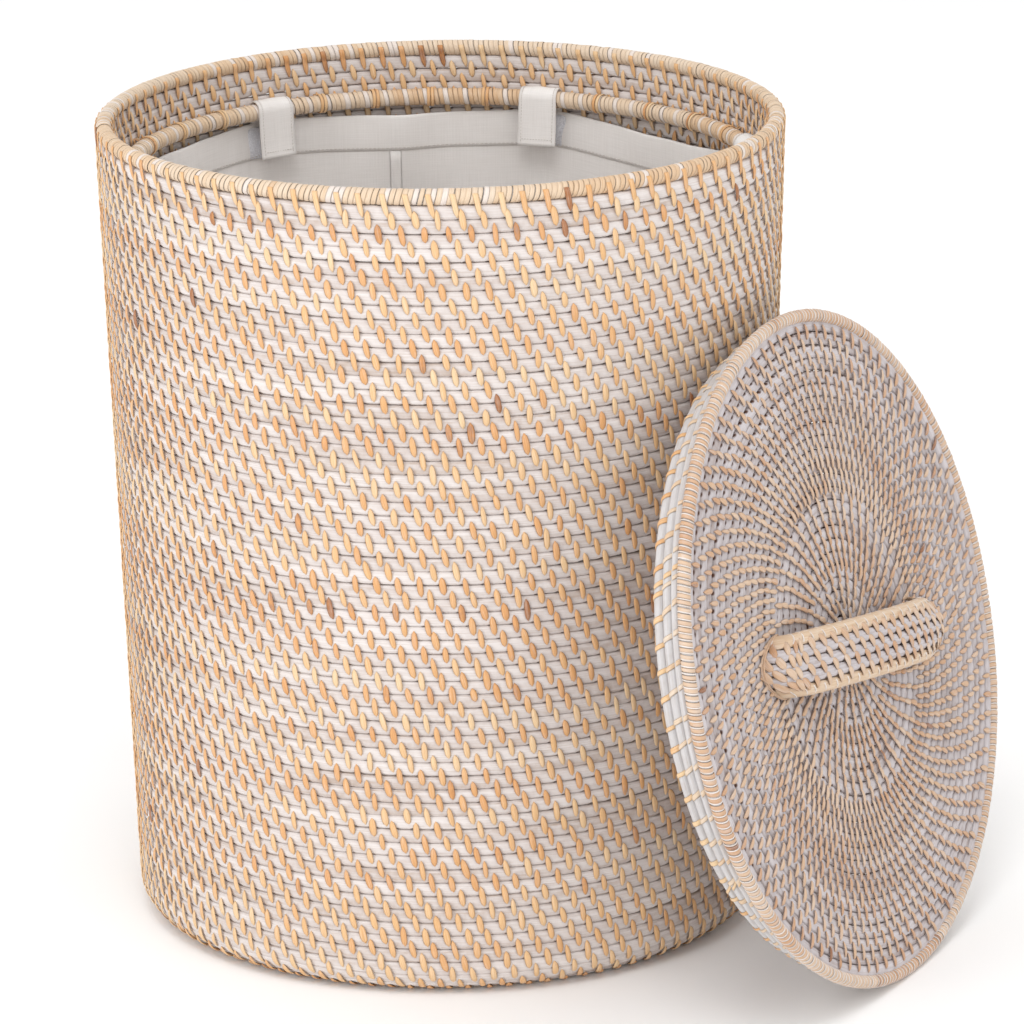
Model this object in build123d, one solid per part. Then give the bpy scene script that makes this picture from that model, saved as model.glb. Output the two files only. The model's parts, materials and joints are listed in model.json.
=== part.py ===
from build123d import *
import os
from math import asin, atan2, cos, degrees, hypot, radians, sin

# Lidded laundry hamper in coiled rattan with a tabbed cotton liner.
# The basket stands on its floor face at the origin, +Z up. Its lid leans against the +X side.

# ---- basket shell -------------------------------------------------------------------------
basket_height = 520.0       # floor to the top of the rim
top_diameter = 434.0        # over the rim
bottom_diameter = 406.0     # over the wall, just above the floor corner
wall_thickness = 8.0        # one core rod with its stitches
corner_radius = 20.0        # outer radius between wall and floor
base_thickness = 8.0

# ---- rim: a core hoop bound with cane -----------------------------------------------------
rim_diameter = 10.0         # over the binding
rim_binding_thickness = 1.2
rim_seat_depth = 2.5        # how far the wall climbs round the rim

# ---- ledge: the inner hoop that carries the liner -----------------------------------------
ledge_drop = 30.0           # top of the rim down to the top of the ledge
ledge_diameter = 11.0       # over the binding
ledge_binding_thickness = 1.2
ledge_wall_gap = 3.2        # room for a tab between ledge and wall
lashings_per_bay = 4        # between one tab and the next
lashing_width = 4.0
lashing_thickness = 0.8

# ---- liner --------------------------------------------------------------------------------
liner_gap = 2.5             # liner to wall and to floor
liner_thickness = 1.2
hem_height = 24.0
hem_thickness = 2.0
hem_ledge_gap = 2.0         # top of the hem to the underside of the ledge

# ---- liner tabs ---------------------------------------------------------------------------
tab_count = 6
tab_first_angle = 98.7      # degrees from +X, counter-clockwise
tab_pair_gap = 53.6         # degrees between the first two; the others share the rest evenly
tab_width = 26.0
tab_thickness = 1.6
tab_ledge_gap = 0.8
tab_sewn_length = 18.0      # overlap on the outside of the hem
flap_length = 30.0          # below the hinge line
flap_lift = 3.0             # degrees that the free end stands off, towards the axis
flap_clearance = 0.3        # round the fold
flap_opening = 120.0        # degrees, lifted from rest
pad_width = 22.0            # hook and loop pads
pad_height = 17.0
pad_thickness = 1.0
pad_end_margin = 2.0        # pad to the free end of the flap

# ---- lid ----------------------------------------------------------------------------------
lid_rim_overlap = 4.0       # lid ring centre inside the rim centre
lid_ring_diameter = 8.0     # over the binding
lid_ring_binding_thickness = 1.0
lid_panel_thickness = 7.0
lid_panel_proud = 2.5       # panel face above the plane of the ring
lid_skirt_depth = 28.0      # plane of the ring down to the free edge
lid_skirt_taper = 17.0      # how much smaller the free edge is than the ring, on the radius
skirt_rod_diameter = 8.6
skirt_rod_gap = 0.2
skirt_tie_count = 74
skirt_tie_width = 2.6
skirt_tie_thickness = 0.9
skirt_tie_slant = 14.0      # degrees
skirt_tie_gap = 0.05

# ---- handle -------------------------------------------------------------------------------
handle_span = 224.0         # over the rod centres at the two feet
handle_rise = 21.0          # rod centres above the panel face
handle_foot_radius = 9.0
handle_rod_count = 5
handle_rod_diameter = 7.0
handle_rod_pitch = 7.5
handle_weave_thickness = 1.3
handle_turn = -9.0          # degrees from the level direction, in the plane of the leaning lid
collar_height = 3.0
collar_thickness = 1.6

# ---- how the lid leans --------------------------------------------------------------------
lid_lean = 13.3             # degrees from upright
lid_side_shift = -10.0      # along Y
lid_wall_gap = 0.5
lid_floor_gap = 0.2

# ---- worked out from the sizes above ------------------------------------------------------
top_radius = top_diameter / 2
bottom_radius = bottom_diameter / 2
rim_tube = rim_diameter / 2
rim_radius = top_radius - rim_tube
rim_z = basket_height - rim_tube
wall_top = rim_z - rim_tube + rim_seat_depth
ledge_tube = ledge_diameter / 2
ledge_z = basket_height - ledge_drop - ledge_tube
flap_offset = ledge_tube + tab_ledge_gap + tab_thickness / 2
hem_top = ledge_z - ledge_tube - hem_ledge_gap
hem_bottom = hem_top - hem_height
lid_ring_tube = lid_ring_diameter / 2
lid_ring_radius = rim_radius - lid_rim_overlap
lid_face = lid_panel_proud
lid_back = lid_panel_proud - lid_panel_thickness
skirt_top_rod_diameter = lid_back + lid_skirt_depth - 2 * skirt_rod_diameter - 3 * skirt_rod_gap
handle_width = (handle_rod_count - 1) * handle_rod_pitch + handle_rod_diameter


def wall_radius(z):
    """Outer radius of the wall at a height."""
    share = (z - corner_radius) / (rim_z - corner_radius)
    return bottom_radius + (top_radius - bottom_radius) * share


def liner_radius(z):
    """Outer radius of the liner at a height."""
    return wall_radius(z) - wall_thickness - liner_gap


ledge_radius = wall_radius(ledge_z) - wall_thickness - ledge_wall_gap - ledge_tube


def bowl(offset, top, thickness):
    """Straight-sided round shell that follows the basket at an inward offset from its outside."""
    outer_low = bottom_radius - offset
    outer_high = wall_radius(top) - offset
    floor_radius = bottom_radius - corner_radius
    outer_corner = corner_radius - offset
    inner_corner = outer_corner - thickness
    section = make_face([
        Line((floor_radius, offset), (floor_radius, offset + thickness)),
        RadiusArc((floor_radius, offset + thickness), (outer_low - thickness, corner_radius), -inner_corner),
        Line((outer_low - thickness, corner_radius), (outer_high - thickness, top)),
        Line((outer_high - thickness, top), (outer_high, top)),
        Line((outer_high, top), (outer_low, corner_radius)),
        RadiusArc((outer_low, corner_radius), (floor_radius, offset), outer_corner),
    ])
    return revolve(Plane.XZ * section, Axis.Z)


def hoop(radius, tube, z):
    return Pos(0, 0, z) * Torus(radius, tube)


def sleeve(radius, tube, thickness, z):
    """Binding round a hoop: a hollow torus."""
    return hoop(radius, tube, z) - hoop(radius, tube - thickness, z)


# ---- basket -------------------------------------------------------------------------------
def wall_coil():
    return bowl(0, wall_top, wall_thickness) - hoop(rim_radius, rim_tube, rim_z)


def base_coil():
    radius = bottom_radius - corner_radius
    return extrude(Circle(radius), base_thickness)


def lashing(angle):
    """One cane loop that ties the ledge to the wall: a tie round the hoop and a tail to the wall."""
    round_hoop = Circle(ledge_tube + lashing_thickness) - Circle(ledge_tube)
    tail_length = ledge_tube + ledge_wall_gap
    tail = Pos(tail_length / 2, 0) * Rectangle(tail_length, ledge_tube) - Circle(ledge_tube)
    section = Pos(ledge_radius, ledge_z) * (round_hoop + tail)
    turn = degrees(lashing_width / ledge_radius)
    return Rot(0, 0, angle - turn / 2) * revolve(Plane.XZ * section, Axis.Z, turn)


def ledge_lashings(wall):
    """Lashings spread evenly between each tab and the next."""
    angles = tab_angles()
    ties = []
    for start, end in zip(angles, angles[1:] + [angles[0] + 360]):
        step = (end - start) / (lashings_per_bay + 1)
        ties += [lashing(start + step * (n + 1)) - wall for n in range(lashings_per_bay)]
    return ties


# ---- liner --------------------------------------------------------------------------------
def liner_bag():
    return bowl(wall_thickness + liner_gap, hem_bottom, liner_thickness)


def liner_base():
    """Round bottom panel of the liner."""
    radius = bottom_radius - corner_radius
    return Pos(0, 0, wall_thickness + liner_gap) * extrude(Circle(radius), liner_thickness)


def liner_hem():
    low = liner_radius(hem_bottom)
    high = liner_radius(hem_top)
    section = make_face(Polyline([
        (low, hem_bottom), (high, hem_top), (high - hem_thickness, hem_top),
        (low - hem_thickness, hem_bottom), (low, hem_bottom)]))
    return revolve(Plane.XZ * section, Axis.Z)


def tab_angles():
    even = (360 - tab_pair_gap) / (tab_count - 1)
    return [tab_first_angle] + [tab_first_angle + tab_pair_gap + even * n for n in range(tab_count - 1)]


def tab_plane(angle):
    """Radial plane of a tab: local x points out of the basket, local y up, origin on the axis."""
    return Plane.XZ.rotated((0, 0, angle))


def slab(angle, section, width):
    """A radial section carried half the width to each side of its plane."""
    return extrude(tab_plane(angle) * section, width / 2, both=True)


def tab_strap(angle, hem):
    """Sewn part of a tab: up the outside of the hem, behind the ledge and over it to the fold."""
    inner = ledge_tube + tab_ledge_gap
    outer = inner + tab_thickness
    centre = (ledge_radius, ledge_z)
    half_ring = Pos(*centre) * (Circle(outer) - Circle(inner))
    over = half_ring & Pos(ledge_radius, ledge_z + outer) * Rectangle(4 * outer, 2 * outer)
    foot = hem_top - tab_sewn_length
    hem_out = liner_radius(hem_top)
    foot_out = liner_radius(foot)
    rise_in = ledge_radius + inner
    behind = make_face(Polyline([
        (rise_in, ledge_z), (rise_in + tab_thickness, ledge_z), (hem_out + tab_thickness, hem_top),
        (foot_out + tab_thickness, foot), (foot_out - hem_thickness / 2, foot),
        (hem_out - hem_thickness / 2, hem_top), (rise_in, ledge_z)]))
    hinge = Pos(ledge_radius - flap_offset, ledge_z)
    fold = hinge * Circle(tab_thickness / 2 + flap_clearance)
    opened = Rot(0, 0, -flap_lift - flap_opening) * Pos(0, -flap_length / 2)
    swept = hinge * opened * Rectangle(tab_thickness + 2 * flap_clearance, flap_length)
    strap = slab(angle, over + behind - fold - swept, tab_width)
    return strap - hem


def tab_flap(angle):
    """Free part of a tab, hanging from its fold in front of the ledge."""
    strip = Pos(0, -flap_length / 2) * Rectangle(tab_thickness, flap_length) + Circle(tab_thickness / 2)
    place = Pos(ledge_radius - flap_offset, ledge_z) * Rot(0, 0, -flap_lift)
    return slab(angle, place * strip, tab_width)


def hook_pad(angle):
    middle = -(flap_length - pad_end_margin - pad_height / 2)
    strip = Pos((tab_thickness + pad_thickness) / 2, middle) * Rectangle(pad_thickness, pad_height)
    place = Pos(ledge_radius - flap_offset, ledge_z) * Rot(0, 0, -flap_lift)
    return slab(angle, place * strip, pad_width)


def loop_pad(angle, hem):
    """Loop pad sewn on the inside of the hem, facing the flap."""
    face = liner_radius(hem_top) - hem_thickness
    low = hem_top - (hem_height + pad_height) / 2
    depth = 3 * pad_thickness
    strip = Pos(face + 1 - depth / 2, low + pad_height / 2) * Rectangle(depth, pad_height)
    inside = Pos(0, 0, basket_height / 2) * Cylinder(face - pad_thickness, basket_height)
    return slab(angle, strip, pad_width) - hem - inside


# ---- lid, in its own frame: ring plane at z = 0, outside up -------------------------------
def skirt_rods():
    """Centre radius, centre height and tube radius of each skirt rod, free edge first."""
    edge_radius = lid_ring_radius + lid_ring_tube - lid_skirt_taper
    slope = lid_skirt_taper / lid_skirt_depth
    rods = []
    height = -lid_skirt_depth
    for tube in (skirt_rod_diameter / 2, skirt_rod_diameter / 2, skirt_top_rod_diameter / 2):
        middle = height + tube
        outer = edge_radius + slope * (middle + lid_skirt_depth)
        rods.append((outer - tube, middle, tube))
        height += 2 * tube + skirt_rod_gap
    return rods


def lid_panel(handle_rods):
    disc = Pos(0, 0, lid_back) * extrude(Circle(lid_ring_radius), lid_panel_thickness)
    disc -= hoop(lid_ring_radius, lid_ring_tube, 0)
    return disc - handle_rods


def skirt_tie(angle):
    """A slanted cane tie on the outside of the skirt, leaning as the line that touches its end rods."""
    rods = skirt_rods()
    (low_radius, low_z, low_tube), (high_radius, high_z, high_tube) = rods[0], rods[-1]
    spread = hypot(high_radius - low_radius, high_z - low_z)
    lean = atan2(high_radius - low_radius, high_z - low_z) - asin((low_tube - high_tube) / spread)
    reach = max(radius * cos(lean) - z * sin(lean) + tube for radius, z, tube in rods)
    middle = (low_z + high_z - low_tube / 2) / 2
    radius = (reach + skirt_tie_gap + skirt_tie_thickness / 2 + middle * sin(lean)) / cos(lean)
    bar = Box(skirt_tie_thickness, skirt_tie_width, high_z - low_z + low_tube)
    return Rot(0, 0, angle) * Pos(radius, 0, middle) * Rot(0, degrees(lean), 0) * Rot(skirt_tie_slant, 0, 0) * bar


def skirt_ties():
    step = 360 / skirt_tie_count
    return [skirt_tie(step * n) for n in range(skirt_tie_count)]


def arch(section, start):
    """A section carried up a straight leg from a start height, over the three-arc arch and down."""
    half = handle_span / 2
    foot = handle_foot_radius
    spring = lid_face + collar_height
    rise = handle_rise - collar_height
    crown = ((half - foot) ** 2 + rise ** 2 - foot ** 2) / (2 * (rise - foot))
    turn = degrees(asin((half - foot) / (crown - foot)))
    crown_centre = (0, 0, spring + rise - crown)
    top = Pos(0, 0, lid_face + handle_rise) * Rot(0, 90, 0) * section
    pieces = []
    for side in (-1, 1):
        pieces.append(revolve(top, Axis(crown_centre, (0, side, 0)), turn))
        leg = Pos(side * half, 0, spring) * section
        foot_centre = (side * (half - foot), 0, spring)
        pieces.append(revolve(leg, Axis(foot_centre, (0, -side, 0)), 90 - turn))
        pieces.append(extrude(Pos(side * half, 0, start) * section, spring - start))
    return pieces[0].fuse(*pieces[1:])


def rod_section(number):
    offset = (number - (handle_rod_count + 1) / 2) * handle_rod_pitch
    return Pos(0, offset) * Circle(handle_rod_diameter / 2)


def strap_section(growth):
    """Flat oval round the whole row of rods."""
    return Rot(0, 0, 90) * SlotOverall(handle_width + 2 * growth, handle_rod_diameter + 2 * growth)


def handle_rod(number):
    return arch(rod_section(number), lid_back)


def handle_weave():
    skin = strap_section(handle_weave_thickness)
    for number in range(1, handle_rod_count + 1):
        skin -= rod_section(number)
    return arch(skin, lid_face)


def handle_collar(side):
    """Binding round one foot of the handle, on the panel face."""
    growth = handle_weave_thickness + collar_thickness
    ring = strap_section(growth) - strap_section(handle_weave_thickness)
    return Pos(side * handle_span / 2, 0, lid_face) * extrude(ring, collar_height)


def lid_place():
    """Where the leaning lid stands: its ring on the floor and its skirt against the wall."""
    lean = radians(lid_lean)
    height = lid_ring_radius * cos(lean) + lid_ring_tube + lid_floor_gap
    rod_radius, rod_z, rod_tube = skirt_rods()[0]
    touch_z = height + rod_z * sin(lean) + rod_radius * cos(lean)
    reach = -rod_z * cos(lean) + rod_radius * sin(lean) + rod_tube
    distance = wall_radius(touch_z) + lid_wall_gap + reach
    return Pos(distance, lid_side_shift, height) * Rot(0, 90 - lid_lean, 0)


def build_lid():
    """Every lid node in the lid's own frame."""
    turned = Rot(0, 0, 90 + handle_turn)
    rods = [turned * handle_rod(n + 1) for n in range(handle_rod_count)]
    nodes = {"lid_coil": lid_panel(rods)}
    core = lid_ring_tube - lid_ring_binding_thickness
    nodes["lid_edge_hoop"] = hoop(lid_ring_radius, core, 0)
    nodes["lid_edge_binding"] = sleeve(lid_ring_radius, lid_ring_tube, lid_ring_binding_thickness, 0)
    for number, (radius, middle, tube) in enumerate(skirt_rods(), 1):
        nodes[f"lid_skirt_rod_{number}"] = hoop(radius, tube, middle)
    nodes["lid_skirt_ties"] = Compound(children=skirt_ties())
    for number, rod in enumerate(rods, 1):
        nodes[f"handle_rod_{number}"] = rod
    nodes["handle_weave"] = turned * handle_weave()
    for number, side in enumerate((-1, 1), 1):
        nodes[f"handle_collar_{number}"] = turned * handle_collar(side)
    return nodes


def build_basket():
    wall = wall_coil()
    hem = liner_hem()
    nodes = {
        "wall_coil": wall,
        "base_coil": base_coil(),
        "rim_hoop": hoop(rim_radius, rim_tube - rim_binding_thickness, rim_z),
        "rim_binding": sleeve(rim_radius, rim_tube, rim_binding_thickness, rim_z),
        "ledge_hoop": hoop(ledge_radius, ledge_tube - ledge_binding_thickness, ledge_z),
        "ledge_binding": sleeve(ledge_radius, ledge_tube, ledge_binding_thickness, ledge_z),
        "ledge_lashings": Compound(children=ledge_lashings(wall)),
        "liner_bag": liner_bag(),
        "liner_base": liner_base(),
        "liner_hem": hem,
    }
    for number, angle in enumerate(tab_angles(), 1):
        nodes[f"tab_strap_{number}"] = tab_strap(angle, hem)
        nodes[f"loop_pad_{number}"] = loop_pad(angle, hem)
        nodes[f"tab_flap_{number}"] = tab_flap(angle)
        nodes[f"hook_pad_{number}"] = hook_pad(angle)
    return nodes


def main():
    os.makedirs("parts", exist_ok=True)
    nodes = build_basket()
    place = lid_place()
    for name, solid in build_lid().items():
        nodes[name] = place * solid
    for name, solid in nodes.items():
        export_step(solid, f"parts/{name}.step")


main()
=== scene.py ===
import json
from math import asin, ceil, cos, pi, radians, sin

import bpy
import numpy as np
from mathutils import Matrix, Vector


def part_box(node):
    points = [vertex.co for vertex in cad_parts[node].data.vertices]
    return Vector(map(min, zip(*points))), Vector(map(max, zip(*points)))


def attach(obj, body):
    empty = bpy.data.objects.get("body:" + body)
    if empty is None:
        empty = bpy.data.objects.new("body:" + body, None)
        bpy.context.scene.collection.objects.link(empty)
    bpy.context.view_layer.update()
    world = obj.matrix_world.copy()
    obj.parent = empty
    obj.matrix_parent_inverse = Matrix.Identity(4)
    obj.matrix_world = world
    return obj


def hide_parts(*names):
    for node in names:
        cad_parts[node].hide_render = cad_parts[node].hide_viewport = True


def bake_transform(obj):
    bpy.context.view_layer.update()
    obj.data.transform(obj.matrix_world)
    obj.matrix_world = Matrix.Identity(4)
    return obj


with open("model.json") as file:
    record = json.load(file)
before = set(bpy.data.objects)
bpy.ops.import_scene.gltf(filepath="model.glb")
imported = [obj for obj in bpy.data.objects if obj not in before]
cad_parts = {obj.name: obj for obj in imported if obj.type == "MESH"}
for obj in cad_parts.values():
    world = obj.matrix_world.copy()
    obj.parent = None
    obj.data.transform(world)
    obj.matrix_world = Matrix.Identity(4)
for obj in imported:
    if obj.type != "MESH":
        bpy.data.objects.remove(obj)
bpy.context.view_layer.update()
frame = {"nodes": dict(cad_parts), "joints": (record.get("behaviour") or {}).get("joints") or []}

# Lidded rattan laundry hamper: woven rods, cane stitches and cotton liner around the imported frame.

rng = np.random.default_rng(468)

# ---- sizes in metres, named once ----------------------------------------------------------
ROW_PITCH = 0.0089          # one coiled rod to the next
ROD_HALF_DEPTH = 0.0036     # half a rod's thickness through the wall
ROD_SQUARENESS = 5.0        # superellipse exponent of a rod's section
STITCHES_PER_ROW = 97       # round the wall
STITCH_STEP = 0.42          # share of a stitch that each row shifts from the one below
STITCH_PITCH = 0.0134       # rings shorter than half of this a stitch take half as many
STITCH_LENGTH = 0.0122
STITCH_WIDTH = 0.0036
STITCH_THICKNESS = 0.0005   # half of it
STITCH_SLANT = radians(10)
HOLE_SHADE_SHIFT = 0.17           # painted shade in the hole beside each stitch: its shift, as a share of the stitch pitch
STITCH_SINK = 0.0008        # ends below the face of the rods
STITCH_LIFT = 0.0004        # middle above the face of the rods
FACE_INSET = 0.0008         # rod faces inside the CAD surface, so that the stitches reach it
CORNER = 0.020              # wall to floor, outside radius
BARE_WALL = 0.045           # how far below the ledge the inside stitches go on
FLOOR_LIFT = 0.0011         # rods of the floor stand on their own stitches

WRAPS_PER_STITCH = 4        # cane wraps on the rim for each stitch below it
WRAP_DEPTH = 0.0008         # rod of a hoop inside its wraps
LEDGE_WRAP_PITCH = 0.0034
LASHING_DEPTH = 0.0085      # ends of a lashing, in from the wall's outer face
LASHING_SHIFT = 0.0013      # its two strands, each way from the middle
LID_WRAP_PITCH = 0.0040

LID_ROW_PITCH = 0.0082
LID_STITCH_STEP = 0.46
LID_STITCH_PITCH = 0.0132   # at the edge of the lid
LID_STITCH_LENGTH = 0.0096
LID_STITCH_WIDTH = 0.0034
SKIRT_TIE_PITCH = 0.0165

HANDLE_SPAN = 0.224
HANDLE_RISE = 0.021
HANDLE_FOOT = 0.009
HANDLE_COLLAR = 0.003
HANDLE_RODS = 5
HANDLE_ROD_PITCH = 0.0075
HANDLE_ROD = 0.0035         # radius
HANDLE_TURN = radians(-9)   # in the plane of the lid
HANDLE_STITCH_PITCH = 0.0128
HANDLE_STEP = 0.38          # share of a stitch that each groove shifts from the one below

HEM = 0.024
SEAM_ANGLE = radians(127)   # liner's upright seam
LOOSE_BAY = radians(68)     # middle of the bay where the liner hangs lowest
LINER_GAP = 0.0105          # liner inside the outer face of the wall
LINER_SAG = 0.0035          # of its edge midway between tabs
LOOSE_SAG = 0.0055          # and this much more in the loose bay
TAB_REACH = 0.11            # how far down a tab's pull shows
CLOTH = 0.0006              # thickness of the liner
HEM_CLOTH = 0.0009
STRAND_GAP = 0.0003         # cane tie over a skirt rod
TIE_HALF_WIDTH = 0.0017
UP = np.array([0.0, 0.0, 1.0])
LEVEL = np.array([1, 1, 0])

TAB_HALF_WIDTH = 0.013
TAB_HALF_THICKNESS = 0.0008
FLAP_LENGTH = 0.030
LOOP_SHIFT = 0.0032         # loop tape sewn a little to one side of its tab


# ---- where the frame puts things ----------------------------------------------------------
def span(node):
    low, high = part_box(node)
    return np.array(low), np.array(high)


def tube_of(node):
    """Ring radius, tube radius and height of a level hoop."""
    low, high = span(node)
    tube = (high[2] - low[2]) / 2
    return (high[0] - low[0]) / 2 - tube, tube, (high[2] + low[2]) / 2


RIM, RIM_TUBE, RIM_Z = tube_of("rim_binding")
LEDGE, LEDGE_TUBE, LEDGE_Z = tube_of("ledge_binding")
FLOOR_RADIUS = span("base_coil")[1][0]
TOP_RADIUS = RIM + RIM_TUBE
BOTTOM_RADIUS = FLOOR_RADIUS + CORNER
joints = {joint["name"]: joint for joint in frame["joints"]}
HEM_TOP = span("liner_hem")[1][2]
WALL_SPREAD = TOP_RADIUS - BOTTOM_RADIUS
LID_OUT = np.array(joints["lid_lift"]["axis"], float)
LID_UP = np.array([-LID_OUT[2], 0.0, LID_OUT[0]])
lid_low, lid_high = span("lid_edge_binding")
LID_CENTRE = (lid_low + lid_high) / 2
LID_OUTER = (lid_high[1] - lid_low[1]) / 2
LID_TUBE = LID_OUTER - (span("lid_coil")[1][1] - span("lid_coil")[0][1]) / 2
LID_RING = LID_OUTER - LID_TUBE
LID_FACE = 0.0025           # panel face above the plane of the ring
LID_BACK = -0.0045


# ---- mesh building ------------------------------------------------------------------------
def lattice(name, points, closed_length, uv, tint, material, body, nodes=()):
    """Many closed tubes in one piece, standing for the given frame nodes.

    points has (tube, station, section point, xyz); no body leaves the piece loose.
    """
    tubes, stations, section = points.shape[:3]
    index = np.arange(tubes * stations * section).reshape(tubes, stations, section)
    ahead = np.roll(index, -1, axis=1) if closed_length else index[:, 1:]
    here = index if closed_length else index[:, :-1]
    quads = np.stack([here, ahead, np.roll(ahead, -1, axis=2), np.roll(here, -1, axis=2)], axis=-1)
    loops = [quads.reshape(-1)]
    starts = [np.arange(quads.size // 4) * 4]
    if not closed_length:
        caps = np.concatenate([index[:, 0, :], index[:, -1, ::-1]])
        loops.append(caps.reshape(-1))
        starts.append(quads.size + np.arange(len(caps)) * section)
    loops = np.concatenate(loops)
    starts = np.concatenate(starts)
    mesh = bpy.data.meshes.new(name)
    mesh.vertices.add(index.size)
    mesh.vertices.foreach_set("co", points.reshape(-1).astype(np.float32))
    mesh.loops.add(len(loops))
    mesh.loops.foreach_set("vertex_index", loops.astype(np.int32))
    mesh.polygons.add(len(starts))
    mesh.polygons.foreach_set("loop_start", starts.astype(np.int32))
    mesh.polygons.foreach_set("use_smooth", np.ones(len(starts), bool))
    mesh.update(calc_edges=True)
    steps = quads.shape[1]
    for layer, (along, across) in uv.items():
        u = np.broadcast_to(along, (tubes, steps + 1))
        v = np.broadcast_to(across, (section + 1,))
        corner = np.zeros((tubes, steps, section, 4, 2))
        corner[..., 0, 0] = corner[..., 3, 0] = u[:, :-1, None]
        corner[..., 1, 0] = corner[..., 2, 0] = u[:, 1:, None]
        corner[..., 0, 1] = corner[..., 1, 1] = v[None, None, :-1]
        corner[..., 2, 1] = corner[..., 3, 1] = v[None, None, 1:]
        full = np.zeros((len(loops), 2))
        full[:quads.size] = corner.reshape(-1, 2)
        mesh.uv_layers.new(name=layer).data.foreach_set("uv", full.reshape(-1).astype(np.float32))
    shade = np.broadcast_to(np.asarray(tint).reshape(tubes, -1, 1), (tubes, stations, section))
    mesh.attributes.new("tint", "FLOAT", "POINT").data.foreach_set("value", shade.reshape(-1).astype(np.float32))
    mesh.materials.append(material)
    piece = bpy.data.objects.new(name, mesh)
    bpy.context.collection.objects.link(piece)
    if body:
        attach(piece, body)
    if nodes:
        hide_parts(*nodes)
    return piece


RIBBON = np.array([(-1, 0), (-0.62, 0.78), (0, 1), (0.62, 0.78), (1, 0), (0, -0.8)])


def ribbons(name, centre, out, side, half_width, half_thickness, tint, material, body, closed=False, nodes=()):
    """Flat cane strips. centre, out and side have (strip, station, xyz)."""
    centre, out, side = np.broadcast_arrays(centre, out, side)
    width = np.broadcast_to(half_width, centre.shape[:2])[..., None, None]
    across = RIBBON[:, 0][None, None, :, None] * width * side[:, :, None, :]
    thick = np.broadcast_to(half_thickness, centre.shape[:2])[..., None, None]
    upward = RIBBON[:, 1][None, None, :, None] * thick * out[:, :, None, :]
    points = centre[:, :, None, :] + across + upward
    gaps = np.linalg.norm(np.diff(centre, axis=1), axis=-1)
    if closed:
        gaps = np.concatenate([gaps, gaps[:, :1]], axis=1)
    along = np.concatenate([np.zeros((len(centre), 1)), np.cumsum(gaps, axis=1)], axis=1)
    along = along + rng.random((len(centre), 1)) * 3
    layers = {"grain": (along, np.linspace(0, 0.008, 7))}
    return lattice(name, points, closed, layers, tint, material, body, nodes)


def unit(vectors):
    return vectors / np.maximum(np.linalg.norm(vectors, axis=-1, keepdims=True), 1e-12)


def spokes(angle):
    """Directions out from the upright axis and round it."""
    c, d = np.cos(angle), np.sin(angle)
    return np.stack([c, d, 0 * c], axis=-1), np.stack([-d, c, 0 * c], axis=-1)


def lifted(radial, path):
    """Points of a radial plane, (station, out and up), laid along each spoke."""
    path = np.asarray(path)
    return radial * path[None, :, :1] + UP * path[None, :, 1:]


def turned(place, centre, out, side):
    """Points and two directions taken from a placed frame to the shared one."""
    turn = place[:3, :3].T
    return centre @ turn + place[:3, 3], out @ turn, side @ turn


def superellipse(count, half_depth, half_height, power):
    a = (np.arange(count) + 0.5) / count * 2 * pi
    x = np.sign(np.cos(a)) * np.abs(np.cos(a)) ** (2 / power) * half_depth
    y = np.sign(np.sin(a)) * np.abs(np.sin(a)) ** (2 / power) * half_height
    return np.stack([x, y], axis=-1)


def strand_tints(count, run):
    """One tone for each run of stitches sewn with the same strand, with a little drift."""
    strands = rng.random(count // run + 2) * 0.8 + 0.05
    start = rng.integers(run)
    tones = strands[(np.arange(count) + start) // run]
    dark = (rng.random(count) > 0.992) * 0.5
    return np.clip(tones + rng.normal(0, 0.09, count) + dark, 0, 1.2)


# ---- surfaces of revolution ---------------------------------------------------------------
class Surface:
    """A round face given by its section: distance along the section to radius and height."""

    def __init__(self, radius, height, place=None, flip=1):
        self.radius, self.height = np.asarray(radius, float), np.asarray(height, float)
        steps = np.hypot(np.diff(self.radius), np.diff(self.height))
        self.along = np.concatenate([[0], np.cumsum(steps)])
        self.length = self.along[-1]
        run, rise = np.gradient(self.radius, self.along), np.gradient(self.height, self.along)
        self.out_r, self.out_z = flip * rise, -flip * run
        self.place = np.eye(4) if place is None else place

    def radius_at(self, s):
        return np.interp(s, self.along, self.radius)

    def frames(self, s, angle, lift=0.0):
        """Point, outward normal, direction along the section and direction round the axis."""
        s, angle = np.broadcast_arrays(s, angle)
        nr, nz = np.interp(s, self.along, self.out_r), np.interp(s, self.along, self.out_z)
        size = np.hypot(nr, nz)
        nr, nz = nr / size, nz / size
        r = self.radius_at(s) + nr * lift
        z = np.interp(s, self.along, self.height) + nz * lift
        radial, around = spokes(angle)
        point = radial * r[..., None] + UP * z[..., None]
        out = radial * nr[..., None] + UP * nz[..., None]
        turn = self.place[:3, :3].T
        return point @ turn + self.place[:3, 3], out @ turn, np.cross(out, around) @ turn, around @ turn


def pressed(turns):
    """1 where a stitch crosses, falling to 0 beside it."""
    return np.exp(-((turns - np.round(turns)) / 0.15) ** 2)


def pinch(section, low, high):
    """A rod's section squeezed by the stitches in the grooves below and above it."""
    share = section[:, 1] / np.abs(section[:, 1]).max()
    press = low[..., None] * np.clip(-share, 0, 1) + high[..., None] * np.clip(share, 0, 1)
    return section[:, 0] * (1 - 0.24 * press), section[:, 1] * (1 - 0.10 * press)


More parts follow.
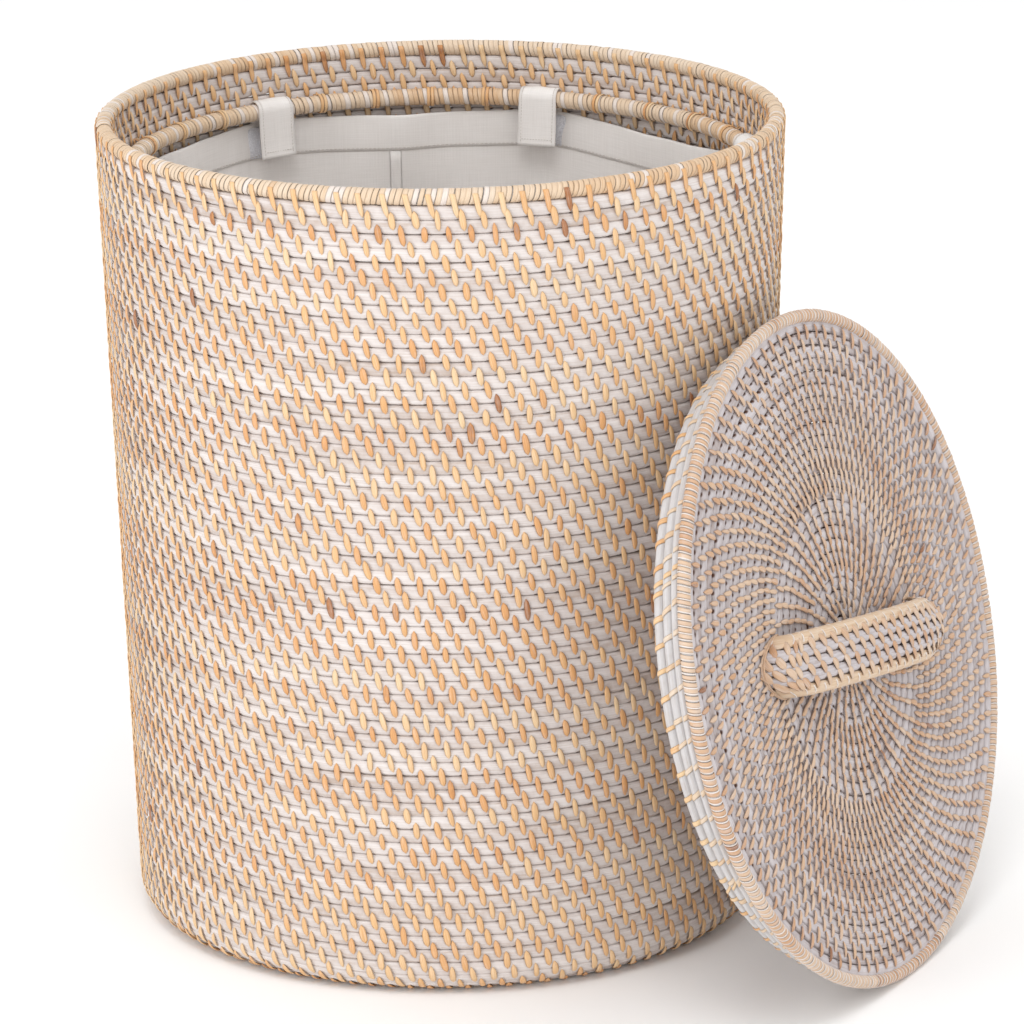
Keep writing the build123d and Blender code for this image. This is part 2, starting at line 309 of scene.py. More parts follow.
def rod_rings(name, surface, rows, per_row, phase, above, segments, half_height, material, body, nodes):
    """Rods laid round a surface, one ring for each row, with their faces FACE_INSET below it."""
    section = superellipse(10, ROD_HALF_DEPTH, half_height, ROD_SQUARENESS)
    rows, per_row, phase = np.asarray(rows), np.asarray(per_row)[:, None], np.asarray(phase)[:, None]
    u = np.arange(segments + 1)[None, :] / segments + phase / per_row
    angle = u[:, :-1] * 2 * pi
    wobble = rng.normal(0, 0.00012, (len(rows), 5, 1))
    slow = sum(wobble[:, k] * np.cos((k + 2) * angle + k) for k in range(5))
    low = u * per_row - phase
    high = u * np.asarray(above)[:, :1] - np.asarray(above)[:, 1:]
    centre, out, along, _ = surface.frames(rows[:, None], angle, -FACE_INSET - ROD_HALF_DEPTH)
    centre = centre + out * slow[..., None] * 0.8 + along * slow[..., None]
    depth, height = pinch(section, pressed(low[:, :-1]), pressed(high[:, :-1]))
    points = (centre[:, :, None, :] + depth[..., None] * out[:, :, None, :]
              + height[..., None] * along[:, :, None, :])
    length = 2 * pi * surface.radius_at(rows)[:, None] * u + rng.random((len(rows), 1)) * 5
    v = np.arange(11) / 10
    tint = np.clip(rng.random((len(rows), 1)) * 0.6 + 0.2 + slow * 900, 0, 1)
    layers = {"grain": (length, v * 0.028), "sewing": (low, v), "sewing_above": (high, v)}
    return lattice(name, points, True, layers, tint, material, body, nodes)


def stitches(name, surface, row_gaps, per_row, phase, step_way, material, body,
             length=STITCH_LENGTH, width=STITCH_WIDTH, run=31):
    """Cane stitches over the grooves between rods: pointed strips that dive into the rods."""
    s0 = np.concatenate([np.full(n, s) for s, n in zip(row_gaps, per_row)])
    angle = np.concatenate([(np.arange(n) + p) / n * 2 * pi for n, p in zip(per_row, phase)])
    count = len(s0)
    s0 = s0 + rng.normal(0, 0.00035, count)
    radius = surface.radius_at(s0)
    angle = angle + rng.normal(0, 0.0004, count) / radius
    slant = step_way * (STITCH_SLANT + rng.normal(0, radians(3), count))
    size = length * (1 + rng.normal(0, 0.07, count))
    broad = width * (1 + rng.normal(0, 0.09, count))
    t = np.linspace(-1, 1, 8)
    reach = t[None, :] * size[:, None] / 2
    s = s0[:, None] + reach * np.cos(slant)[:, None]
    a = angle[:, None] + reach * np.sin(slant)[:, None] / radius[:, None]
    lift = -STITCH_SINK + (STITCH_SINK + STITCH_LIFT) * (1 - t ** 2) ** 0.8
    point, out, along, around = surface.frames(s, a, lift[None, :] + rng.normal(0, 0.00008, (count, 1)))
    side = unit(around * np.cos(slant)[:, None, None] - along * np.sin(slant)[:, None, None])
    half = broad[:, None] / 2 * (1 - np.abs(t[None, :]) ** 2.6) ** 0.62 + 0.0002
    tint = strand_tints(count, run)
    return ribbons(name, point, out, side, half, STITCH_THICKNESS, tint, material, body)


def hoop_wraps(name, ring, tube, place, count, half_width, tint, material, body, lean, shift=0.0, rise=0.00032,
               nodes=()):
    """Cane wound round a hoop, one closed band for each turn."""
    phi = np.arange(16) / 16 * 2 * pi
    angle = (np.arange(count) + shift + rng.normal(0, 0.04, count)) / count * 2 * pi
    a = angle[:, None] + lean * np.sin(phi)[None, :] / ring
    radial, around = spokes(a)
    out = lifted(radial, np.stack([np.cos(phi), np.sin(phi)], axis=-1))
    swell = tube + rng.normal(0, 0.00008, (count, 1, 1))
    width = half_width * (1 + rng.normal(0, 0.06, (count, 1)))
    return ribbons(name, *turned(place, radial * ring + out * swell, out, around), width, rise,
                   tint, material, body, True, nodes)


def hoop_core(name, node, ring, tube, place, body, segments=256):
    """The rod inside a wrapped hoop."""
    section = superellipse(12, tube, tube, 2)
    angle = np.arange(segments) / segments * 2 * pi
    points = lifted(spokes(angle)[0][:, None, :], section + np.array([ring, 0]))
    u = np.arange(segments + 1) / segments
    layers = {"grain": (2 * pi * ring * u, np.arange(13) / 12 * 2 * pi * tube),
              "sewing": (0.5 + 0 * u, np.full(13, 0.5))}
    points = points @ place[:3, :3].T + place[:3, 3]
    return lattice(name, points[None], True, layers, 0.6, SKIRT_ROD, body, [node])


# ---- materials ----------------------------------------------------------------------------
class Nodes:
    """Short hand for a material's node tree."""

    def __init__(self, name):
        self.material = bpy.data.materials.new(name)
        self.material.use_nodes = True
        self.tree = self.material.node_tree
        self.shader = self.tree.nodes["Principled BSDF"]

    def add(self, kind, inputs=None, **settings):
        node = self.tree.nodes.new(kind)
        for key, value in settings.items():
            setattr(node, key, value)
        for key, value in (inputs or {}).items():
            self.put(node.inputs[key], value)
        return node

    def put(self, socket, value):
        if isinstance(value, bpy.types.NodeSocket):
            self.tree.links.new(value, socket)
        else:
            socket.default_value = value

    def math(self, operation, a, b=0.0, c=0.0):
        return self.add("ShaderNodeMath", {0: a, 1: b, 2: c}, operation=operation).outputs[0]

    def plus(self, a, b):
        return self.math("ADD", a, b)

    def less(self, a, b):
        return self.math("SUBTRACT", a, b)

    def times(self, a, b, more=0.0):
        """a times b, and more."""
        return self.math("MULTIPLY_ADD", a, b, more)

    def surface(self, inputs):
        for key, value in inputs.items():
            self.put(self.shader.inputs[key], value)
        return self.material

    def tint(self):
        return self.add("ShaderNodeAttribute", attribute_name="tint").outputs["Fac"]

    def uv(self, layer):
        return self.add("ShaderNodeUVMap", uv_map=layer).outputs[0]

    def scaled(self, vector, scale):
        node = self.add("ShaderNodeVectorMath", {0: vector, 1: scale}, operation="MULTIPLY")
        return node.outputs[0]

    def noise(self, vector, scale, detail=3.0, roughness=0.55):
        inputs = {"Vector": vector, "Scale": scale, "Detail": detail, "Roughness": roughness}
        return self.add("ShaderNodeTexNoise", inputs).outputs["Fac"]

    def ramp(self, factor, stops):
        node = self.add("ShaderNodeValToRGB", {"Fac": factor})
        elements = node.color_ramp.elements
        while len(elements) < len(stops):
            elements.new(0.5)
        for element, (position, colour) in zip(elements, stops):
            element.position = position
            element.color = (*colour, 1)
        return node.outputs["Color"]

    def mix(self, factor, a, b):
        node = self.add("ShaderNodeMix", data_type="RGBA", blend_type="MIX")
        self.put(node.inputs[0], factor)
        self.put(node.inputs[6], a if not isinstance(a, tuple) else (*a, 1))
        self.put(node.inputs[7], b if not isinstance(b, tuple) else (*b, 1))
        return node.outputs[2]

    def spread(self, value, low, high):
        """value from low..high to 0..1, clamped."""
        node = self.add("ShaderNodeMapRange", {"Value": value, "From Min": low, "From Max": high})
        return node.outputs[0]

    def bump(self, height, distance, strength):
        inputs = {"Height": height, "Distance": distance, "Strength": strength}
        return self.add("ShaderNodeBump", inputs).outputs[0]


def srgb(r, g, b):
    return tuple(((c / 255 + 0.055) / 1.055) ** 2.4 if c > 10 else c / 255 / 12.92 for c in (r, g, b))


def rod_material(name, pale, mid, warm, hole_shade=0.8, hole_shade_size=1.0):
    """Whitewashed rattan core: fine grain along the rod, worn patches, painted shade along the grooves and in the
    holes where stitches enter.
    """
    n = Nodes(name)
    grain = n.uv("grain")
    fibre = n.noise(n.scaled(grain, (30, 2600, 1)), 1.0, 4, 0.6)
    streak = n.noise(n.scaled(grain, (9, 420, 1)), 1.0, 3, 0.6)
    patch = n.noise(n.scaled(grain, (95, 110, 1)), 1.0, 4, 0.65)
    tint = n.tint()
    wash = n.times(streak, 0.55, n.times(patch, 0.45))
    wash = n.times(tint, 0.22, n.less(wash, 0.11))
    colour = n.ramp(wash, [(0.30, warm), (0.45, mid), (0.62, pale)])
    lines = n.spread(fibre, 0.36, 0.52)
    colour = n.mix(n.times(n.less(1.0, lines), 0.45), colour, warm)
    height = n.times(fibre, 0.35, n.times(streak, 0.65))
    # Painted shade: a dark spot in the hole beside each stitch, where the stitch bridges the groove
    if hole_shade:
        own = n.add("ShaderNodeSeparateXYZ", {0: n.uv("sewing")})
        beyond = n.add("ShaderNodeSeparateXYZ", {0: n.uv("sewing_above")})
        v = own.outputs[1]
        edge_low = n.math("ABSOLUTE", n.less(v, 0.75))
        edge_high = n.math("ABSOLUTE", n.less(v, 0.25))
        dark = None
        for edge, turn in ((edge_low, own.outputs[0]), (edge_high, beyond.outputs[0])):
            place = n.math("FRACT", n.plus(turn, 0.5 + HOLE_SHADE_SHIFT))
            across = n.times(n.math("ABSOLUTE", n.less(place, 0.5)), 7.5 / hole_shade_size)
            away = n.times(edge, 10.0 / hole_shade_size)
            hole_shade_spot = n.math("SQRT", n.plus(n.times(across, across), n.times(away, away)))
            hole_shade_spot = n.less(1.0, n.spread(hole_shade_spot, 0.45, 1.0))
            dark = hole_shade_spot if dark is None else n.math("MAXIMUM", dark, hole_shade_spot)
        # Painted shade: a darker line along the edges of the groove between neighbouring rods
        line = n.less(1.0, n.spread(n.math("MINIMUM", edge_low, edge_high), 0.01, 0.06))
        colour = n.mix(n.times(line, 0.22), colour, srgb(136, 112, 96))
        # dark brown of the painted shade in the holes, with a dip in the bump
        colour = n.mix(n.times(dark, hole_shade), colour, srgb(84, 52, 36))
        height = n.less(height, n.times(dark, 0.8))
    return n.surface({"Base Color": colour, "Roughness": n.times(fibre, 0.15, 0.74), "Specular IOR Level": 0.15,
                      "Normal": n.bump(height, 0.0005, 0.7)})


def cane_material(name, tones, wash, wash_amount):
    """Split cane: a tone for each strand, long fibres, a dusting of whitewash, low sheen."""
    n = Nodes(name)
    grain = n.uv("grain")
    fibre = n.noise(n.scaled(grain, (60, 2400, 1)), 1.0, 3, 0.6)
    blotch = n.noise(n.scaled(grain, (170, 260, 1)), 1.0, 2, 0.5)
    tint = n.tint()
    tone = n.times(n.less(blotch, 0.5), 0.30, tint)
    colour = n.ramp(tone, tones)
    colour = n.mix(n.times(n.spread(fibre, 0.60, 0.40), 0.22), colour, srgb(150, 98, 52))
    dust = n.times(n.spread(n.plus(fibre, n.times(blotch, 0.5)), 0.72, 0.95), wash_amount)
    colour = n.mix(dust, colour, wash)
    return n.surface({"Base Color": colour, "Roughness": n.times(fibre, 0.2, 0.42), "Specular IOR Level": 0.4,
                      "Normal": n.bump(fibre, 0.0002, 0.6)})


def cotton_material(name, light, dark, threads_per_metre=2200.0):
    """Plain-weave cotton with slubs."""
    n = Nodes(name)
    cloth = n.uv("grain")
    split = n.add("ShaderNodeSeparateXYZ", {0: cloth})
    turn = 2 * pi * threads_per_metre / 2
    warp = n.math("SINE", n.times(split.outputs[0], turn))
    weft = n.math("SINE", n.times(split.outputs[1], turn))
    weave = n.times(n.times(warp, weft), 0.5, 0.5)
    slub_x = n.noise(n.scaled(cloth, (40, 1400, 1)), 1.0, 2)
    slub_y = n.noise(n.scaled(cloth, (1400, 40, 1)), 1.0, 2)
    slub = n.times(n.plus(slub_x, slub_y), 0.5)
    soft = n.noise(n.scaled(cloth, (9, 9, 1)), 1.0, 3)
    tone = n.times(weave, 0.12, n.times(slub, 0.55, n.times(soft, 0.5)))
    return n.surface({"Base Color": n.ramp(tone, [(0.36, dark), (0.76, light)]), "Roughness": 0.92,
                      "Specular IOR Level": 0.15, "Sheen Weight": 0.15, "Sheen Roughness": 0.6,
                      "Normal": n.bump(n.times(weave, 0.5, slub), 0.00022, 0.4)})


def tape_material(name, colour, shade):
    """Hook-and-loop tape: rows of tiny loops."""
    n = Nodes(name)
    place = n.add("ShaderNodeTexCoord").outputs["Object"]
    loops = n.add("ShaderNodeTexVoronoi", {"Vector": place, "Scale": 1100.0}, feature="F1").outputs["Distance"]
    fuzz = n.noise(place, 900.0, 4, 0.7)
    return n.surface({"Base Color": n.ramp(n.times(loops, 0.8, fuzz), [(0.3, colour), (1.0, shade)]),
                      "Roughness": 0.85, "Sheen Weight": 0.4, "Normal": n.bump(n.plus(loops, fuzz), 0.0005, 0.8)})


WALL_ROD = rod_material("whitewashed_rod", srgb(221, 214, 211), srgb(207, 198, 194), srgb(184, 167, 155))
LID_ROD = rod_material("lid_rod", srgb(206, 200, 202), srgb(192, 185, 186), srgb(164, 148, 142), 0.95, 1.35)
SKIRT_ROD = rod_material("skirt_rod", srgb(207, 205, 206), srgb(195, 191, 190), srgb(172, 160, 150), hole_shade=0)
CANE = cane_material("honey_cane", [(0.0, srgb(230, 200, 158)), (0.4, srgb(226, 182, 130)),
                                    (0.88, srgb(216, 158, 102)), (1.08, srgb(160, 104, 64))],
                     srgb(226, 214, 202), 0.30)
RIM_CANE = cane_material("rim_cane", [(0.0, srgb(226, 216, 208)), (0.22, srgb(222, 205, 184)),
                                      (0.6, srgb(219, 193, 162)), (1.0, srgb(209, 172, 132))],
                         srgb(222, 212, 202), 0.35)
LID_CANE = cane_material("lid_cane", [(0.0, srgb(216, 190, 164)), (0.5, srgb(208, 174, 142)),
                                      (0.95, srgb(196, 150, 112)), (1.1, srgb(142, 96, 66))],
                         srgb(208, 200, 198), 0.55)
CHALK_CANE = cane_material("chalked_cane", [(0.0, srgb(232, 226, 222)), (0.6, srgb(220, 210, 202)),
                                            (1.0, srgb(208, 190, 172))], srgb(236, 232, 230), 0.6)
EDGE_CANE = cane_material("handle_edge_cane", [(0.0, srgb(222, 200, 174)), (0.5, srgb(212, 184, 152)),
                                               (1.0, srgb(198, 162, 124))], srgb(216, 208, 202), 0.45)
COTTON = cotton_material("natural_cotton", srgb(236, 232, 229), srgb(215, 210, 206))
THREAD_COTTON = cotton_material("sewing_thread", srgb(214, 208, 202), srgb(186, 178, 170))
TAPE = tape_material("hook_and_loop_tape", srgb(246, 246, 250), srgb(214, 214, 220))


# ---- basket: one coil from the middle of the floor, round the corner and up the wall --------
def wall_radius(z):
    """Outer face of the wall at a height."""
    return BOTTOM_RADIUS + WALL_SPREAD * (z - CORNER) / (RIM_Z - CORNER)


def basket_section():
    corner = np.linspace(-pi / 2, 0, 24)
    wall = np.linspace(0, 1, 40)[1:]
    top = RIM_Z - RIM_TUBE
    top_radius = wall_radius(top)
    radius = np.concatenate([[0.004], FLOOR_RADIUS + CORNER * np.cos(corner),
                             BOTTOM_RADIUS + (top_radius - BOTTOM_RADIUS) * wall])
    height = np.concatenate([[FLOOR_LIFT], CORNER + (CORNER - FLOOR_LIFT) * np.sin(corner),
                             CORNER + (top - CORNER) * wall])
    return radius, height


def rings_for(radius, pitch, full):
    """How many stitches a ring of this radius takes: the full count, or half, or a quarter."""
    count = full
    while 2 * pi * radius / count < 0.5 * pitch and count > 12:
        count = ceil(count / 2)
    return count


def coil_rows(surface, pitch, full, stitch_pitch, step):
    """Rod centre lines, stitch counts and phases for a whole coiled face."""
    rows = round(surface.length / pitch)
    pitch = surface.length / rows
    centres = (np.arange(rows) + 0.5) * pitch
    counts = [rings_for(surface.radius_at(s), stitch_pitch, full) for s in centres]
    phases = [(step * row * count / full) % 1 for row, count in enumerate(counts)]
    return centres, counts, phases, pitch


def sewn_above(counts, phases):
    """Stitch count and phase in the groove beyond each row; the last row repeats its own step."""
    counts, phases = list(counts), list(phases)
    beyond = phases[-1] + (phases[-1] - phases[-2])
    return np.array(list(zip(counts[1:] + counts[-1:], phases[1:] + [beyond])), float)


def build_basket():
    face = Surface(*basket_section())
    centres, counts, phases, pitch = coil_rows(face, ROW_PITCH, STITCHES_PER_ROW, STITCH_PITCH, -STITCH_STEP)
    above = sewn_above(counts, phases)
    floor_rows = int(FLOOR_RADIUS / pitch)
    parts = {"floor_coil": slice(0, floor_rows)}
    edges = np.linspace(floor_rows, len(centres), 4).astype(int)
    for number, (low, high) in enumerate(zip(edges, edges[1:]), 1):
        parts[f"wall_rods_{number}"] = slice(low, high)
    for name, rows in parts.items():
        rod_rings(name, face, centres[rows], counts[rows], phases[rows], above[rows], 4 * STITCHES_PER_ROW,
                  pitch * 0.5, WALL_ROD, "basket", ["base_coil" if name == "floor_coil" else "wall_coil"])
        sewn = slice(max(rows.start, 1), rows.stop)
        stitches(name.replace("rods", "stitches").replace("coil", "stitches"), face, centres[sewn] - pitch / 2,
                 counts[sewn], phases[sewn], -1, CANE, "basket")
    inside = Surface(face.radius[-24:] - 2 * (FACE_INSET + ROD_HALF_DEPTH), face.height[-24:], flip=-1)
    shown = np.interp(centres, face.along, face.height) > LEDGE_Z - BARE_WALL
    gaps = np.interp(centres[shown] - pitch / 2, face.along, face.height)
    stitches("wall_stitches_inside", inside, np.interp(gaps, inside.height, inside.along),
             np.array(counts)[shown], np.array(phases)[shown], 1, CANE, "basket")
    return counts[-1], phases[-1]


# ---- rim and ledge -------------------------------------------------------------------------
def level(z):
    place = np.eye(4)
    place[2, 3] = z
    return place


def rim_strands(count, phase, name, inside):
    """Stitches of the first rod, which come out from under the rim's wraps, outside or inside."""
    way = -1 if inside else 1
    angle = (np.arange(count) + phase + rng.normal(0, 0.03, count)) / count * 2 * pi
    t = np.linspace(0, 1, 9)
    top, foot = RIM_Z + 0.0026, RIM_Z - 0.0125
    z = top + (foot - top) * t
    skin = wall_radius(z) - (2 * (FACE_INSET + ROD_HALF_DEPTH) if inside else 0)
    ring = RIM + way * np.sqrt(np.maximum(RIM_TUBE ** 2 - (z - RIM_Z) ** 2, 0))
    proud = np.where(ring * way > skin * way, ring, skin)
    base = np.where(z > RIM_Z, ring, proud)
    lift = STITCH_LIFT - (STITCH_LIFT + STITCH_SINK) * np.clip((t - 0.55) / 0.45, 0, 1) ** 2
    a = angle[:, None] + (way * t * 0.0030 / RIM)[None, :] * (1 + rng.normal(0, 0.1, count))[:, None]
    radial, around = spokes(a)
    centre = lifted(radial, np.stack([base + way * lift, z], axis=-1))
    half = STITCH_WIDTH / 2 * (1 - np.clip((t - 0.62) / 0.38, 0, 1) ** 2.2 * 0.9)
    ribbons(name, centre, radial * way, around, half[None, :], STITCH_THICKNESS, strand_tints(count, 9),
            CANE, "basket")


def build_rim(count, phase):
    place = level(RIM_Z)
    hoop_core("rim_core", "rim_hoop", RIM, RIM_TUBE - WRAP_DEPTH, place, "basket")
    wraps = count * WRAPS_PER_STITCH
    pitch = 2 * pi * RIM / wraps
    tint = np.clip(strand_tints(wraps, 40) * 0.7 + 0.25, 0, 1) * (rng.random(wraps) > 0.16)
    hoop_wraps("rim_wraps", RIM, RIM_TUBE - 0.0001, place, wraps, pitch * 0.505, tint, RIM_CANE, "basket", 0.0012,
               rise=0.00022, nodes=["rim_binding"])
    rim_strands(count, phase - STITCH_STEP, "rim_strands_outside", False)
    rim_strands(count, phase - STITCH_STEP, "rim_strands_inside", True)


def build_ledge():
    place = level(LEDGE_Z)
    hoop_core("ledge_core", "ledge_hoop", LEDGE, LEDGE_TUBE - WRAP_DEPTH, place, "basket")
    wraps = round(2 * pi * LEDGE / LEDGE_WRAP_PITCH)
    tint = np.clip(strand_tints(wraps, 33) * 0.6 + 0.4, 0, 1) * (np.arange(wraps) % 4 > 0)
    hoop_wraps("ledge_wraps", LEDGE, LEDGE_TUBE - 0.0001, place, wraps, LEDGE_WRAP_PITCH * 0.50, tint,
               RIM_CANE, "basket", 0.0010, rise=0.00024, nodes=["ledge_binding"])


def build_lashings():
    """Cane loops between the ledge and the wall, two strands each, where the frame has them."""
    node = frame["nodes"]["ledge_lashings"]
    co = np.array([v.co for v in node.data.vertices])
    angles = np.sort(np.arctan2(co[:, 1], co[:, 0]))
    groups = np.split(angles, np.where(np.diff(angles) > 0.02)[0] + 1)
    middle = np.array([g.mean() for g in groups])
    phi = np.linspace(radians(-150), radians(150), 20)
    wall = wall_radius(LEDGE_Z) - LASHING_DEPTH
    turn = np.stack([-np.cos(phi), np.sin(phi)], axis=-1)
    loop = np.array([LEDGE, LEDGE_Z]) + (LEDGE_TUBE + 0.0006) * turn
    path = np.concatenate([[(wall, LEDGE_Z - 0.0045)], loop, [(wall, LEDGE_Z + 0.0045)]])
    facing = np.concatenate([[(0.0, -1.0)], turn, [(0.0, 1.0)]])
    a = np.concatenate([middle - LASHING_SHIFT / LEDGE, middle + LASHING_SHIFT / LEDGE])
    radial, around = spokes(np.broadcast_to(a[:, None], (len(a), len(path))))
    ribbons("ledge_ties", lifted(radial, path), lifted(radial, facing), around, 0.0011, 0.0004,
            strand_tints(len(a), 3), CANE, "basket", nodes=["ledge_lashings"])


# ---- liner --------------------------------------------------------------------------------
def tab_list():
    """Number, hinge point and radial direction of each liner tab."""
    tabs = []
    for name, joint in joints.items():
        if name.startswith("tab_peel_"):
            pivot = np.array(joint["pos_m"], float)
            radial = np.array([pivot[0], pivot[1], 0.0])
            tabs.append((int(name.rsplit("_", 1)[1]), pivot, radial / np.linalg.norm(radial)))
    return tabs


def tab_pull(angle):
    """1 at a tab, 0 midway between two tabs."""
    centres = sorted(np.arctan2(radial[1], radial[0]) % (2 * pi) for _, _, radial in tab_list())
    centres = np.array([centres[-1] - 2 * pi] + centres + [centres[0] + 2 * pi])
    a = angle % (2 * pi)
    k = np.searchsorted(centres, a)
    low, high = centres[k - 1], centres[k]
    share = (a - low) / (high - low)
    return 1 - np.sin(pi * share) ** 0.8


def hem_sag(angle):
    """How far the liner's edge hangs below the tabs."""
    loose = np.exp(-((((angle - LOOSE_BAY + pi) % (2 * pi)) - pi) / radians(30)) ** 2)
    return (1 - tab_pull(angle)) * (LINER_SAG + LOOSE_SAG * loose)


def liner_fold(angle, z):
    """How far the cloth stands in from the wall: soft upright folds, drags from the tabs."""
    pull = tab_pull(angle)
    near = np.clip(1 - (HEM_TOP - z) / TAB_REACH, 0, 1)
    folds = (np.sin(9 * angle + 1.3 * np.sin(3 * angle)) * 0.5 + np.sin(17 * angle + 40 * z + 2.1) * 0.3
             + np.sin(29 * angle - 25 * z) * 0.2)
    drag = near * (1 - pull) * 0.0022
    ripples = np.sin(55 * z + 4 * np.sin(5 * angle)) * 0.0005 + np.sin(23 * z + 7 * angle) * 0.0006
    depth = 0.0011 + 0.0016 * near * (1 - pull)
    calm = 1 - 0.97 * pull * np.clip(1.5 * near, 0, 1)
    return (0.0016 + depth * (folds + 1) + drag + ripples * 1.3) * calm


def liner_radius(angle, z):
    """Middle of the liner's cloth."""
    return wall_radius(z) - LINER_GAP - liner_fold(angle, z)


def build_liner():
    bag_low = span("liner_base")[0][2]
    around = 432
    angle = np.arange(around) / around * 2 * pi

    def ring(r, z):
        return np.stack([r * np.cos(angle), r * np.sin(angle), np.broadcast_to(z, angle.shape)], axis=-1)

    def sheet_rows(heights):
        """Rings of points for given heights as shares of the hanging length."""
        levels = [CORNER + (HEM_TOP - hem_sag(angle) - CORNER) * share for share in heights]
        return [ring(liner_radius(angle, z), z) for z in levels]

    length = HEM_TOP - CORNER
    grid = sheet_rows(np.linspace(1 - 0.55 * HEM / length, 0, 64))
    inner = CORNER - bag_low
    for a in np.linspace(0, pi / 2, 7)[1:]:
        r = liner_radius(angle, np.full_like(angle, CORNER)) - inner * (1 - np.cos(a))
        grid.append(ring(r, CORNER - inner * np.sin(a) + 0.0006))
    edge = np.hypot(grid[-1][:, 0], grid[-1][:, 1])
    for share in np.linspace(1, 0.0005, 26)[1:]:
        r = edge * share
        puff = 0.0012 * np.sin(7 * angle + 30 * r) * np.sin(60 * r) * min(1.0, share * 3) + 0.0018
        grid.append(ring(r, bag_low + puff))
    grid = np.array(grid)
    gaps = np.linalg.norm(np.diff(grid, axis=0), axis=-1).mean(axis=1)
    cloth = cloth_sheet("liner_cloth", grid, np.concatenate([[0], np.cumsum(gaps)]), CLOTH,
                        ["liner_bag", "liner_base"])
    band = np.array(sheet_rows(np.linspace(1, 1 - HEM / length, 14)))
    swell = (0.0005 + 0.0005 * np.sin(np.linspace(0, pi, 14)) ** 0.5)[:, None, None]
    band = band + unit(-band * LEVEL) * swell
    hem = cloth_sheet("liner_hem_band", band, np.linspace(0, HEM, 14), HEM_CLOTH, ["liner_hem"])
    return cloth, hem, band


def cloth_sheet(name, grid, v, thickness, nodes):
    """A round sheet of cotton: (row, angle, xyz) points, top row first, thickened both ways."""
    ahead = np.roll(grid, -1, axis=1) - np.roll(grid, 1, axis=1)
    down = np.gradient(grid, axis=0)
    normal = unit(np.cross(down, ahead))
    inside = grid + normal * thickness / 2
    outside = grid - normal * thickness / 2
    if np.mean(np.sum(normal * grid * LEVEL, axis=-1)) > 0:
        inside, outside = outside, inside
    points = np.concatenate([inside, outside[::-1]]).transpose(1, 0, 2)[None]
    u = np.arange(grid.shape[1] + 1) / grid.shape[1] * 2 * pi * 0.2
    layers = {"grain": (u, np.concatenate([v, v[::-1], [v[0]]]))}
    return lattice(name, points, True, layers, 0.5, COTTON, "basket", nodes)


def thread_line(name, start, end, out, body, half):
    """A row of sewing stitches from start to end points, (stitch, xyz)."""
    t = np.linspace(-1, 1, 5)
    middle, reach = (start + end) / 2, (end - start) / 2
    centre = middle[:, None, :] + reach[:, None, :] * t[None, :, None]
    lift = (1 - t ** 2) * half * 0.9 - half * 0.3
    centre = centre + out[:, None, :] * lift[None, :, None]
    side = unit(np.cross(out, end - start))[:, None, :]
    width = half * (1 - t ** 4 * 0.5)
    return ribbons(name, centre, out[:, None, :], side, width[None, :], half * 0.8, np.full(len(start), 0.5),
                   THREAD_COTTON, body)


def build_hem_stitching(band):
    """Machine stitching near the lower edge of the hem."""
    inward = unit(-band[-2] * LEVEL)
    row = band[-2] + inward * 0.0010
    ahead = np.roll(row, -1, axis=0)
    start, end = row * 0.85 + ahead * 0.15, row * 0.15 + ahead * 0.85
    return thread_line("hem_stitching", start, end, inward, "basket", 0.00025)


def build_seam(band):
    """Upright seam of the liner, a narrow felled strip."""
    column = int(SEAM_ANGLE / (2 * pi) * band.shape[1])
    z = np.linspace(band[-1][column, 2] - 0.0005, 0.024, 60)
    angle = np.full_like(z, SEAM_ANGLE) + 0.004 * np.sin(z * 30)
    radial, side = spokes(angle)
    centre = radial * (liner_radius(angle, z) - 0.0006)[:, None] + UP * z[:, None]
    return ribbons("liner_seam", centre[None], -radial[None], side[None], 0.0040, 0.00018, 0.5,
                   COTTON, "basket")


# ---- liner tabs ---------------------------------------------------------------------------
def tab_path():
    """Middle line of a tab in its radial plane, measured out from the ledge and up from its level."""
    ring = LEDGE_TUBE + 0.0008 + TAB_HALF_THICKNESS
    foot = HEM_TOP - LEDGE_Z - 0.018
    up = [(ring - 0.0022, foot + t * (-foot - 0.006)) for t in np.linspace(0, 1, 7)]
    over = [(ring * cos(a), ring * sin(a)) for a in np.linspace(-0.25, pi, 22)]
    hang = [(-ring - t * 0.0019 - t ** 3 * 0.0016, -t * FLAP_LENGTH) for t in np.linspace(0, 1, 15)[1:]]
    return np.array(up + over + hang)


